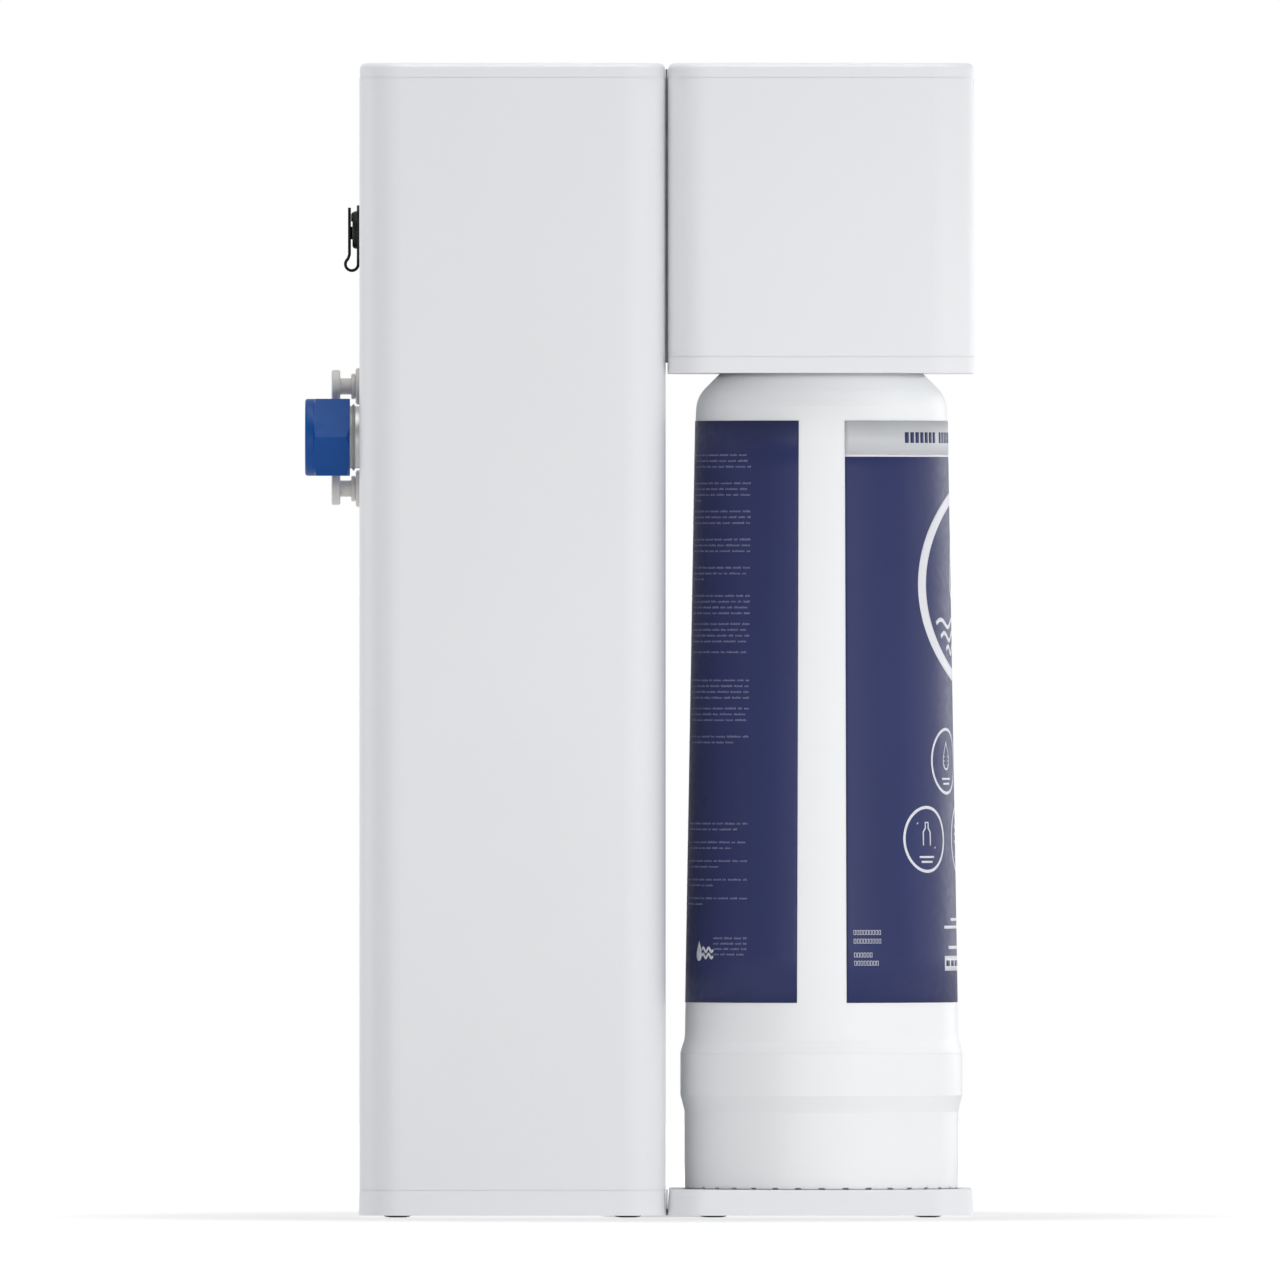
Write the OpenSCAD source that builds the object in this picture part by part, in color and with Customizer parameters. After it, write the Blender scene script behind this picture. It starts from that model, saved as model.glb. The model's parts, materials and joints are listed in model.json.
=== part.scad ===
// Under-sink reverse osmosis unit: a square column that holds the pump, valve and electronics,
// a head that carries the valve block, and a twist-lock membrane cartridge that hangs between
// the head and a base plate. +X points to the front, the water connections are at the rear,
// +Z is up, and the origin is on the floor at the middle of the overall box.

/* [Housing] */
// Side of the square column and head profiles
profile = 119.6; // [118:0.2:122]
// Height of the housing, without the feet
unit_h = 450; // [446:1:456]
// Height of the head, from its underside to the top
head_h = 121; // [119:0.5:123]
// Plan radius of the vertical corners
corner_r = 16; // [12:0.5:18]
// Wall of the extruded profiles
wall = 2.2; // [1.8:0.1:2.4]
// Height of the base and the base plate
base_h = 10; // [10:0.5:11]
// Visible height of the top caps
cap_h = 5.6; // [5:0.1:7]
// Rounding of the top edge
edge_r = 2.4; // [1:0.1:2.6]
// Gap between the column and the head
head_gap = 0.8; // [0.6:0.1:1]

/* [Cartridge] */
// Radius of the widest ring
ring_r = 55.2; // [54.8:0.1:55.6]
// Twist that unlocks the bayonet, in degrees
unlock_angle = 60; // [60:60]
// Drop of the cartridge over that twist
unlock_drop = 6; // [5:0.5:6]
// Half of the plain strip between the two printed panels, in degrees
strip_half = 10.5; // [8:0.5:14]

/* [Connections] */
// Height of the water inlet above the floor
inlet_z = 304.8; // [300:0.2:308]
// Height between the inlet and each push-fit port
port_step = 20; // [20:0.5:22]
// Sideways offset of the inlet and of the ports from the middle
port_side = 9; // [9:0.5:10]
// Radius of the inlet thread over its crests (G 3/4)
thread_r = 13.22; // [13:0.01:13.3]
// Hexagon of the inlet cap, across its flats
cap_flats = 30.1; // [30:0.1:31]
// How far the inlet cap reaches behind the column
cap_reach = 21.4; // [21:0.1:22]
// Radius of the water tubes
tube_r = 3.175; // [3:0.005:3.2]

/* [Hidden] */
$fn = 64;

eps = 0.01;
clear = 0.2;              // gap of a loose fit
foot_drop = 0.8;          // how far the feet stand below the base
seam = 0.2;               // height of the shadow groove at each seam
seam_depth = 0.35;        // depth of that groove
cap_inset = 0.2;          // how far each top cap stands back from its sleeve
spigot_h = 8;             // reach of the caps and bases into the profiles
skin = 2.6;               // plate and rim thickness of caps, base and lid

base_z = foot_drop;
base_draft = 0.3;         // how far the column base spreads at the floor
base_top = base_z + base_h;
body_top = base_z + unit_h;
cap_z = body_top - cap_h;
head_z = body_top - head_h;
lid_h = 6.4;
head_x = profile + head_gap;
column_mid = profile / 2;
head_mid = head_x + profile / 2;
rear_x = -(2 * profile + head_gap - cap_reach) / 2;   // the column's rear face in this frame
inner = profile - 2 * wall;

// Feet
foot_r = 5.6;
foot_h = foot_drop + 2;
column_foot = 45;
plate_foot = 41.9;

// Screws that share one size
screw_r = 1.9;
screw_head_r = 3.6;
screw_head_h = 2.2;
tie_half_y = 35.5;
tie_t = 1.6;
tie_x = [96, 136];
tie_screw_x = [105, 128];
tie_screw_y = 30;

// Cartridge axis and levels
axis_x = head_mid + 0.4;
floor_t = 3.2;                         // base plate under the cartridge
recess_r = ring_r - 0.5;
skirt_r = ring_r - 1.6;
skirt_z = base_top - 0.2;
ring_z = [base_z + 46.6, base_z + 63.2];
label_z = [base_z + 83, base_z + 310.4];
label_r = [53.2, 49.3];
shell_t = 2.4;
shoulder_r = 12;                       // rounding from the wall to the shoulder
neck_r = 21.5;
neck_z = head_z + 16.5;
neck_top = neck_z + 28;
seal_z = neck_top - 6.1;
lug_r = 25.6;
lug_h = 4.6;
lug_z = neck_z + 8.4;
lug_angle = 12;
ring_bottom = neck_z + 0.7;
ring_top = lug_z + lug_h + 1.4;
bayonet_r = neck_r + 0.7;
lug_room_r = lug_r + 0.7;
block_r = 36;
block_top = ring_top + 42;

// Rear connections
inlet_y = -port_side;
port_y = port_side;
permeate_z = inlet_z + port_step;
drain_z = inlet_z - port_step;
thread_pitch = 1.814;
thread_len = 16;
valve_x = [24, 58];
valve_mid = 41;
seat_z = inlet_z - 4.5;
socket_z = 384.8;
socket_half = 10.8;
loop_x = -3.2;
loop_z = 372.6;
loop_r = 3.05;
strap = [-4.66, -3.56];

// Pump
pump_x = 62;
pump_z = 20;
pump_r = 35;
motor_r = 28;
motor_z = pump_z + 50;
motor_h = 80;
mount_half = 34;
boss_top = 13.8;
port_level = pump_z + 30;

// Head window and bolts
window_half_y = 32;
window_z = [368, 408];
bolt_y = 37.5;
bolt_z = [352, 428];
bolt_r = 2.5;
plate_t = 2;
gasket_z = [head_z + 4.5, body_top - 2.3];
gasket_half_y = 44;
lid_hole_r = 41.6;
chassis_y = 52;
chassis_z = 12;
chassis_screw_y = 46.5;
front_x = profile - wall;
board_y = 44;

// ---------- shared shapes ----------

module place() translate([rear_x, 0, 0]) children();

module along_x(x, y, z) translate([x, y, z]) rotate([0, 90, 0]) children();

module rounded_square(l, w, r) {
    square([l - 2 * r, w], center = true);
    square([l, w - 2 * r], center = true);
    for (i = [-1, 1], j = [-1, 1]) translate([i * (l / 2 - r), j * (w / 2 - r)]) circle(r);
}

module profile_ring(side, thickness, r, h) linear_extrude(h) difference() {
    rounded_square(side, side, r);
    rounded_square(side - 2 * thickness, side - 2 * thickness, max(r - thickness, 1));
}

// Quarter-round top edge of a part whose side is at `half`
function edge_arc(half, h, e) =
    [for (a = [0:22.5:90]) [half - e + e * cos(a), h - e + e * sin(a)]];

module soft_block(side, h, r, e) {
    arc = edge_arc(side / 2, h, e);
    section = concat([[-side / 2, 0], [side / 2, 0]], arc,
        [for (i = [len(arc) - 1:-1:0]) [-arc[i][0], arc[i][1]]]);
    for (turn = [0, 90]) rotate(turn) rotate([90, 0, 90])
        linear_extrude(side - 2 * r, center = true) polygon(section);
    for (i = [-1, 1], j = [-1, 1]) translate([i * (side / 2 - r), j * (side / 2 - r)])
        rotate_extrude() polygon(concat([[0, 0], [r, 0]], edge_arc(r, h, e), [[0, h]]));
}

// Rounded square whose sides lean in by `draft` over its height
module draft_block(side, h, r, draft) {
    for (turn = [0, 90]) rotate(turn) rotate([90, 0, 90]) linear_extrude(side - 2 * r, center = true)
        polygon([[-side / 2, 0], [side / 2, 0], [side / 2 - draft, h], [-side / 2 + draft, h]]);
    for (i = [-1, 1], j = [-1, 1]) translate([i * (side / 2 - r), j * (side / 2 - r)])
        cylinder(r1 = r, r2 = r - draft, h = h);
}

// A hollow or solid round tube through a list of points, with bends of one radius
function unit(v) = v / norm(v);
function bend_in(points, i, bend) =
    (i == 0 || i == len(points) - 1) ? 0 :
    bend * tan(acos(unit(points[i] - points[i - 1]) * unit(points[i + 1] - points[i])) / 2);

module frame_at(origin, x_dir, y_dir) {
    z_dir = cross(x_dir, y_dir);
    multmatrix([[x_dir[0], y_dir[0], z_dir[0], origin[0]],
                [x_dir[1], y_dir[1], z_dir[1], origin[1]],
                [x_dir[2], y_dir[2], z_dir[2], origin[2]],
                [0, 0, 0, 1]]) children();
}

module pipe(points, r, bore, bend) {
    for (i = [0:len(points) - 2]) {
        dir = unit(points[i + 1] - points[i]);
        from = points[i] + dir * bend_in(points, i, bend);
        to = points[i + 1] - dir * bend_in(points, i + 1, bend);
        side = abs(dir[2]) > 0.9 ? unit(cross(dir, [1, 0, 0])) : unit(cross(dir, [0, 0, 1]));
        if (norm(to - from) > eps)
            frame_at(from, side, cross(dir, side)) linear_extrude(norm(to - from)) pipe_ring(r, bore);
    }
    for (i = [1:1:len(points) - 2]) {
        u = unit(points[i] - points[i - 1]);
        v = unit(points[i + 1] - points[i]);
        inward = unit(v - (v * u) * u);
        start = points[i] - u * bend_in(points, i, bend);
        frame_at(start + bend * inward, -inward, u)
            rotate_extrude(angle = acos(u * v)) translate([bend, 0]) pipe_ring(r, bore);
    }
}

module pipe_ring(r, bore) difference() {
    circle(r);
    if (bore > 0) circle(bore);
}

// A closed coil of round wire, as one swept mesh
module coil(r, wire, h, turns, steps = 16, sides = 6) {
    n = turns * steps;
    climb = (h - 2 * wire) / n;
    points = [for (i = [0:n], k = [0:sides - 1])
        let (a = 360 * i / steps, b = 360 * k / sides, rr = r + wire * cos(b))
        [rr * cos(a), rr * sin(a), wire + climb * i + wire * sin(b)]];
    faces = concat(
        [[for (k = [0:sides - 1]) k]],
        [for (i = [0:n - 1], k = [0:sides - 1])
            let (next = (k + 1) % sides)
            [i * sides + k, (i + 1) * sides + k, (i + 1) * sides + next, i * sides + next]],
        [[for (k = [sides - 1:-1:0]) n * sides + k]]);
    polyhedron(points, faces);
}

module screw(length) {
    translate([0, 0, -length]) cylinder(r = screw_r, h = length);
    difference() {
        cylinder(r = screw_head_r, h = screw_head_h);
        translate([0, 0, screw_head_h - 1.2]) cylinder(r = 1.6, h = 1.3, $fn = 6);
    }
}

// ---------- housing ----------

module profile_tube(z0, z1) translate([0, 0, z0]) profile_ring(profile, wall, corner_r, z1 - z0);

module window_cut(x) translate([x - 5, -window_half_y, window_z[0]])
    cube([10, 2 * window_half_y, window_z[1] - window_z[0]]);

module bolt_cuts(x, r) for (j = [-1, 1], z = bolt_z) along_x(x - 5, j * bolt_y, z) cylinder(r = r, h = 10);

module column_sleeve() color("white") place() difference() {
    translate([column_mid, 0, 0]) profile_tube(base_top, cap_z - seam);
    along_x(-5, inlet_y, inlet_z) cylinder(r = thread_r + 0.4, h = 10);
    for (z = [permeate_z, drain_z]) along_x(-5, port_y, z) cylinder(r = 5.6, h = 10);
    along_x(-5, 0, socket_z) cylinder(r = 7.1, h = 10);
    window_cut(profile);
    bolt_cuts(profile, bolt_r + 0.2);
}

module top_cap() {
    translate([0, 0, cap_z]) difference() {
        soft_block(profile - 2 * cap_inset, cap_h, corner_r - cap_inset, edge_r);
        translate([0, 0, -1]) linear_extrude(cap_h - skin + 1)
            rounded_square(profile - 2 * skin, profile - 2 * skin, corner_r - skin);
    }
    translate([0, 0, cap_z - seam])
        profile_ring(profile - 2 * seam_depth, skin, corner_r - seam_depth, seam + 1);
    translate([0, 0, cap_z - spigot_h])
        profile_ring(inner - 2 * clear, 2, corner_r - wall - clear, spigot_h + cap_h - skin + 1);
}

module column_top_cap() color("white") place() translate([column_mid, 0, 0]) top_cap();

module head_top_cap() color("white") place() translate([head_mid, 0, 0]) top_cap();

module foot_recesses(half) for (i = [-1, 1], j = [-1, 1])
    translate([i * half, j * half, base_z - 1]) cylinder(r = foot_r + 0.1, h = foot_h - foot_drop + 1);

module tie_recess() translate([tie_x[0] - clear, -tie_half_y - clear, base_z - 1])
    cube([tie_x[1] - tie_x[0] + 2 * clear, 2 * (tie_half_y + clear), tie_t + 1]);

module tie_screw_places(x) for (j = [-1, 1]) translate([x, j * tie_screw_y, 0]) children();

module column_base() color("white") place() difference() {
    union() {
        translate([column_mid, 0, base_z]) difference() {
            draft_block(profile + 2 * base_draft, base_h - seam, corner_r, base_draft);
            translate([0, 0, 3]) linear_extrude(base_h)
                rounded_square(profile - 2 * skin, profile - 2 * skin, corner_r - skin);
        }
        translate([column_mid, 0, base_top - seam - 1])
            profile_ring(profile - 2 * seam_depth, skin, corner_r - seam_depth, seam + 1);
        translate([column_mid, 0, base_z + 2])
            profile_ring(inner - 2 * clear, 2, corner_r - wall - clear, base_h + spigot_h - 2);
        for (i = [-1, 1], j = [-1, 1])
            translate([pump_x + i * mount_half, j * mount_half, base_z + 2])
                cylinder(r = 5, h = boss_top - base_z - 2);
        tie_screw_places(tie_screw_x[0]) translate([0, 0, base_z]) cylinder(r = 5, h = 9.2);
        for (x = [30, 94]) translate([x, chassis_screw_y, base_z + 2]) cylinder(r = 5, h = 9.2);
    }
    translate([column_mid, 0, 0]) foot_recesses(column_foot);
    tie_recess();
    tie_screw_places(tie_screw_x[0]) translate([0, 0, base_z - 1]) cylinder(r = screw_r + 0.1, h = 10);
    for (i = [-1, 1], j = [-1, 1]) translate([pump_x + i * mount_half, j * mount_half, base_z + 3])
        cylinder(r = screw_r + 0.1, h = boss_top);
    for (x = [30, 94]) translate([x, chassis_screw_y, base_z + 3]) cylinder(r = screw_r + 0.1, h = 12);
}

module base_plate() color("white") place() difference() {
    intersection() {
        translate([head_mid, 0, base_z]) soft_block(profile, base_h, corner_r, 0.8);
        translate([head_mid, 0, base_z]) draft_block(profile, base_h, corner_r, 0.6);
    }
    translate([axis_x, 0, base_z + floor_t]) cylinder(r = recess_r, h = base_h);
    translate([head_mid, 0, 0]) foot_recesses(plate_foot);
    tie_recess();
    tie_screw_places(tie_screw_x[1]) translate([0, 0, base_z - 1]) cylinder(r = screw_r + 0.1, h = 9.5);
}

// Strip that ties the two bases together, with a thin fin that closes the gap between them
module base_tie_plate() color("dimgray") place() difference() {
    union() {
        translate([tie_x[0], -tie_half_y, base_z]) cube([tie_x[1] - tie_x[0], 2 * tie_half_y, tie_t]);
        translate([profile + base_draft + 0.05, -tie_half_y, base_z])
            cube([head_gap - base_draft - 0.1, 2 * tie_half_y, base_h - 0.4]);
    }
    for (x = tie_screw_x) tie_screw_places(x) {
        translate([0, 0, base_z - 1]) cylinder(r = screw_r + 0.1, h = 4);
        translate([0, 0, base_z - 1]) cylinder(r = screw_head_r + 0.1, h = 2.2);
    }
}

module feet() color("#202224") place() {
    for (c = [[column_mid, column_foot], [head_mid, plate_foot]], i = [-1, 1], j = [-1, 1])
        translate([c[0] + i * c[1], j * c[1], 0]) rotate_extrude()
            polygon([[0, 0], [3, 0], [4.6, 0.25], [5.3, 0.55], [foot_r, 0.9], [foot_r, foot_h], [0, foot_h]]);
}

module head_sleeve() color("white") place() difference() {
    translate([head_mid, 0, 0]) profile_tube(head_z + lid_h, cap_z - seam);
    window_cut(head_x);
    bolt_cuts(head_x, bolt_r + 0.2);
}

module head_lid() color("white") place() {
    translate([head_mid, 0, head_z]) difference() {
        linear_extrude(lid_h - seam) rounded_square(profile, profile, corner_r);
        translate([0, 0, skin]) linear_extrude(lid_h)
            rounded_square(profile - 2 * skin, profile - 2 * skin, corner_r - skin);
        translate([axis_x - head_mid, 0, -1]) cylinder(r = lid_hole_r, h = 10);
    }
    translate([head_mid, 0, head_z + lid_h - seam - 1])
        profile_ring(profile - 2 * seam_depth, skin, corner_r - seam_depth, seam + 1);
    translate([head_mid, 0, head_z + 1])
        profile_ring(inner - 2 * clear, 2, corner_r - wall - clear, lid_h + spigot_h - 1);
    translate([axis_x, 0, head_z]) difference() {
        cylinder(r = lid_hole_r + 2, h = 6);
        translate([0, 0, -1]) cylinder(r = lid_hole_r, h = 10);
    }
}

module head_gasket() color("gray") place() difference() {
    translate([profile, -gasket_half_y, gasket_z[0]])
        cube([head_gap, 2 * gasket_half_y, gasket_z[1] - gasket_z[0]]);
    window_cut(profile);
    bolt_cuts(profile, bolt_r + 0.2);
}

module head_bolts() color("silver") place() {
    for (j = [-1, 1], z = bolt_z) along_x(profile - wall - plate_t, j * bolt_y, z) {
        cylinder(r = bolt_r, h = 2 * wall + 2 * plate_t + head_gap + 4);
        translate([0, 0, -3]) cylinder(r = 4.4, h = 3);
        translate([0, 0, 2 * wall + 2 * plate_t + head_gap]) difference() {
            cylinder(r = 4.6, h = 4, $fn = 6);
            translate([0, 0, -1]) cylinder(r = bolt_r - eps, h = 6);
        }
    }
}

// ---------- chassis and screws ----------

// Bent sheet seen from above: a side wall, and a front flange that reaches to y
module chassis_section(y) {
    translate([12, chassis_y]) square([96, plate_t]);
    if (y < 43) {
        polygon([[107, chassis_y], [108, chassis_y + plate_t], [front_x, 43], [front_x - plate_t, 42.4]]);
        translate([front_x - plate_t, y]) square([plate_t, 43 - y]);
    }
}

module chassis() color("silver") place() difference() {
    union() {
        translate([0, 0, chassis_z]) linear_extrude(422 - chassis_z) chassis_section(60);
        translate([0, 0, 340]) linear_extrude(97) chassis_section(-43);
        translate([20, 41, chassis_z]) cube([86, chassis_y - 41 + plate_t, plate_t]);
        for (x = [30, 92], z = [348, 422]) translate([x, board_y + 1.6, z]) rotate([-90, 0, 0])
            cylinder(r = 3, h = chassis_y - board_y - 1.6 + 1);
    }
    window_cut(front_x);
    bolt_cuts(front_x, bolt_r + 0.2);
    for (x = [30, 94]) translate([x, chassis_screw_y, 5]) cylinder(r = screw_r + 0.1, h = 12);
    for (x = [30, 92], z = [348, 422]) translate([x, board_y, z]) rotate([-90, 0, 0])
        cylinder(r = screw_r + 0.1, h = 8);
}

module screws() color("silver") place() {
    for (x = tie_screw_x) tie_screw_places(x)
        translate([0, 0, base_z + 1.2]) rotate([180, 0, 0]) tie_screw();
    for (i = [-1, 1], j = [-1, 1]) translate([pump_x + i * mount_half, j * mount_half, boss_top + 10.2])
        screw(16);
    for (x = [30, 94]) translate([x, chassis_screw_y, 14]) screw(8);
    for (x = [30, 92], z = [348, 422]) translate([x, board_y, z]) rotate([90, 0, 0]) screw(6);
}

module tie_screw() {
    translate([0, 0, -7]) cylinder(r = screw_r, h = 7 + eps);
    difference() {
        cylinder(r = screw_head_r, h = 1.2);
        translate([0, 0, 0.4]) cylinder(r = 1.6, h = 1, $fn = 6);
    }
}

// ---------- rear connections ----------

// Thread of triangular ridges from x = 0 to x = length, over a bore
function ridges(r, depth, pitch, length) =
    [for (i = [0:floor(length / pitch) - 1], k = [0, 1, 2])
        [k == 1 ? r : r - depth, (i + k * 0.5) * pitch - (k == 2 ? 0.12 * pitch : 0)]];

module inlet_fitting() color("#c9c6bf") place() along_x(0, inlet_y, inlet_z) difference() {
    union() {
        translate([0, 0, -thread_len]) rotate_extrude() polygon(concat([[0, 0]],
            ridges(thread_r, 1.1, thread_pitch, thread_len),
            [[thread_r - 1.1, thread_len], [0, thread_len]]));
        cylinder(r = thread_r - 0.4, h = wall);
        translate([0, 0, wall]) cylinder(r = 17.5, h = 3);
        translate([0, 0, wall + 1]) cylinder(r = 12, h = valve_x[0] - wall - 1);
    }
    translate([0, 0, -thread_len - 1]) cylinder(r = 8.5, h = valve_x[0] + thread_len + 2);
}

module inlet_strainer() color("ivory") place() along_x(0, inlet_y, inlet_z) rotate_extrude()
    polygon([[8.4, -15], [8.4, -13], [7.6, -13], [4.6, 6], [0, 6], [0, 5.2], [4, 5.2], [6.9, -13.6], [6.9, -15]]);

module inlet_cap() color("#1d4a8c") place() along_x(-cap_reach, inlet_y, inlet_z) difference() {
    intersection() {
        rotate(30) cylinder(r = cap_flats / 2 / cos(30), h = cap_length(), $fn = 6);
        rotate_extrude() polygon([[0, 0], [cap_flats / 2 - 0.9, 0], [cap_flats / 2 - 0.3, 0.25],
            [cap_flats / 2, 0.8], [cap_flats / 2, 3.2], [cap_flats / 2 + 2.5, 4.6],
            [cap_flats / 2 + 2.5, cap_length() - 1.6], [cap_flats / 2 + 0.3, cap_length()], [0, cap_length()]]);
    }
    translate([0, 0, 3]) cylinder(r = thread_r + 0.25, h = 20);
}

function cap_length() = 17.5;

module inlet_cap_washer() color("#2a2c2e") place() along_x(-thread_len - 2.2, inlet_y, inlet_z)
    difference() {
        cylinder(r = 12.8, h = 2);
        translate([0, 0, -1]) cylinder(r = 8, h = 4);
    }

module port_body(z) along_x(0, port_y, z) difference() {
    union() {
        translate([0, 0, -1.75]) rotate_extrude()
            polygon([[0, 0], [6.5, 0], [7.15, 0.5], [7.15, 1.75], [0, 1.75]]);
        translate([0, 0, -eps]) cylinder(r = 5.4, h = 20 + eps);
    }
    translate([0, 0, -3]) cylinder(r = tube_r + 0.1, h = 30);
    translate([0, 0, -3]) cylinder(r = 4.6, h = 13.6);
    translate([0, 0, -3]) cylinder(r = 5.25, h = 2.25);
}

module port_collet(z) along_x(0, port_y, z) difference() {
    union() {
        translate([0, 0, -3.45]) rotate_extrude()
            polygon([[0, 0], [4.7, 0], [5, 0.3], [5, 1.5], [0, 1.5]]);
        translate([0, 0, -2]) cylinder(r = 4.4, h = 9);
    }
    translate([0, 0, -5]) cylinder(r = tube_r + 0.12, h = 20);
}

module port_plug(z) along_x(0, port_y, z) {
    translate([0, 0, -11.15]) rotate_extrude()
        polygon([[0, 0], [5.9, 0], [6.4, 0.5], [6.4, 2.9], [5.9, 3.4], [0, 3.4]]);
    translate([0, 0, -8]) cylinder(r = tube_r, h = 19);
    translate([0, 0, 11 - eps]) cylinder(r1 = tube_r, r2 = tube_r - 0.7, h = 1);
}

module permeate_port() color("#c4c2bc") place() port_body(permeate_z);
module permeate_collet() color("#c4c2bc") place() port_collet(permeate_z);
module permeate_plug() color("#c4c2bc") place() port_plug(permeate_z);
module drain_port() color("#c4c2bc") place() port_body(drain_z);
module drain_collet() color("#c4c2bc") place() port_collet(drain_z);
module drain_plug() color("#c4c2bc") place() port_plug(drain_z);

module panel_nuts() color("#c4c2bc") place() {
    for (z = [permeate_z, drain_z]) along_x(wall, port_y, z) difference() {
        rotate(30) cylinder(r = 8.6, h = 4, $fn = 6);
        translate([0, 0, -1]) cylinder(r = 5.45, h = 6);
    }
    along_x(wall, 0, socket_z) difference() {
        rotate(30) cylinder(r = 11, h = 3, $fn = 6);
        translate([0, 0, -1]) cylinder(r = 6.95, h = 6);
    }
}

module port_seals() color("#2a2c2e") place() for (z = [permeate_z, drain_z])
    along_x(9.6, port_y, z) rotate_extrude() translate([3.93, 0]) circle(0.62);

module power_socket() color("#26282a") place() difference() {
    union() {
        along_x(-1.2, 0, socket_z) linear_extrude(1.2)
            rounded_square(2 * socket_half, 2 * socket_half, 4);
        along_x(-2.95, 0, socket_z + 1.2) rotate_extrude()
            polygon([[0, 0], [6.4, 0], [7.1, 0.4], [7.4, 1.2], [7.4, 2], [0, 2]]);
        along_x(-3.45, 0, socket_z + 1.2) rotate([0, 0, 130]) rotate_extrude(angle = 100)
            polygon([[5.2, 0], [6.2, 0], [6.9, 0.5], [6.9, 1.5], [5.2, 1.5]]);
        along_x(-eps, 0, socket_z) cylinder(r = 6.9, h = 14);
    }
    along_x(-5, 0, socket_z) cylinder(r = 2.85, h = 13);
    translate([-3, -5.6, socket_z - 12]) cube([4, 11.2, loop_z + loop_r + 0.35 - socket_z + 12]);
}

module socket_flap() color("#1c1e20") place() {
    rotate([90, 0, 0]) linear_extrude(10, center = true) {
        translate([strap[0], loop_z + 3.8]) square([strap[1] - strap[0], socket_z + 9.9 - loop_z - 3.8]);
        polygon([[strap[0], loop_z + 3.9], [strap[1], loop_z + 3.9], [strap[1] + 0.02, loop_z + 3.5],
            [loop_x - 1.15, loop_z + 1.65], [loop_x - 2.1, loop_z + 2.2]]);
        difference() {
            translate([loop_x, loop_z]) circle(loop_r);
            translate([loop_x, loop_z]) circle(loop_r - 1.1);
            translate([loop_x, loop_z]) polygon([[0, 0], [10, 10], [-7.8, 10]]);
        }
    }
    along_x(strap[1] - 0.5, 0, socket_z) {
        cylinder(r = 2.5, h = 2.6);
        translate([0, 0, 2.6 - eps]) cylinder(r1 = 2.5, r2 = 2.1, h = 0.5);
    }
}

// ---------- pump ----------

module pump_mounts() for (i = [-1, 1], j = [-1, 1])
    translate([pump_x + i * mount_half, j * mount_half, 0]) children();

module pump_bracket() color("silver") place() difference() {
    translate([pump_x, 0, pump_z - plate_t]) linear_extrude(plate_t) rounded_square(82, 82, 6);
    pump_mounts() cylinder(r = 4.1, h = 60);
}

module pump_grommets() color("#2a2c2e") place() pump_mounts() translate([0, 0, boss_top])
    rotate_extrude() polygon([[2.2, 0], [6, 0], [6, 4.2], [4, 4.2], [4, 6.2], [6, 6.2], [6, 10.2], [2.2, 10.2]]);

module pump_head() color("#303436") place() difference() {
    union() {
        translate([pump_x, 0, pump_z]) cylinder(r = 27, h = 8);
        translate([pump_x, 0, pump_z + 8]) cylinder(r = pump_r, h = 30);
        translate([pump_x, 0, pump_z + 38]) cylinder(r = 30, h = 12);
        along_x(22, inlet_y, port_level) cylinder(r = 4.6, h = 14);
        along_x(88, -14, port_level) cylinder(r = 4.6, h = 11);
    }
    translate([pump_x, 0, pump_z + 30]) cylinder(r = 16, h = 30);
    along_x(20, inlet_y, port_level) cylinder(r = 2.2, h = 30);
    along_x(80, -14, port_level) cylinder(r = 2.2, h = 30);
}

module pump_motor() color("#9a9c9e") place() translate([pump_x, 0, motor_z]) difference() {
    union() {
        cylinder(r = motor_r, h = motor_h);
        translate([0, 0, motor_h]) cylinder(r = 12, h = 4);
    }
    translate([0, 0, 3]) cylinder(r = motor_r - 1.5, h = motor_h - 6);
    translate([0, 0, -1]) cylinder(r = 3.06, h = motor_h + 2);
}

module motor_magnets() color("#55585a") place() translate([pump_x, 0, motor_z + 14])
    for (a = [20, 200]) rotate(a) rotate_extrude(angle = 140)
        translate([21, 0]) square([motor_r - 1.5 - 21, 52]);

module pump_rotor() color("#b8b0a0") place() translate([pump_x, 0, pump_z]) {
    translate([0, 0, 33]) cylinder(r = 3, h = 50 + motor_h - 33 - 1);
    translate([3, 0, 34]) cylinder(r = 10, h = 10);
    translate([0, 0, 70]) difference() {
        cylinder(r = 19.5, h = 44);
        for (a = [0:60:300]) rotate(a) translate([14, -1.5, -1]) cube([8, 3, 46]);
    }
    translate([0, 0, 117]) cylinder(r = 8, h = 6);
}

// ---------- inlet valve and flow meter ----------

module inlet_valve_body() color("#e4e4e0") place() difference() {
    union() {
        translate([valve_x[0], inlet_y - 14, inlet_z - 13]) cube([valve_x[1] - valve_x[0], 28, 26]);
        translate([valve_mid, inlet_y, inlet_z + 13 - eps]) cylinder(r = 6.5, h = 27);
        translate([valve_mid, inlet_y, inlet_z - 21]) cylinder(r = 5, h = 9);
    }
    along_x(valve_x[0] - 1, inlet_y, inlet_z) cylinder(r = 4, h = valve_mid - valve_x[0] + 1);
    translate([valve_mid, inlet_y, seat_z]) cylinder(r = 5.08, h = inlet_z + 37 - seat_z);
    translate([valve_mid, inlet_y, inlet_z - 30]) cylinder(r = 2.6, h = 30);
}

module inlet_valve_coil() color("#2c4a7a") place() {
    difference() {
        translate([valve_mid - 15, inlet_y - 12.5, inlet_z + 14]) cube([30, 25, 23]);
        translate([valve_mid, inlet_y, inlet_z + 10]) cylinder(r = 6.7, h = 40);
    }
    for (y = [-5, 5]) translate([valve_mid + 15, inlet_y + y - 0.4, inlet_z + 22]) cube([8, 0.8, 6.3]);
}

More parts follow.
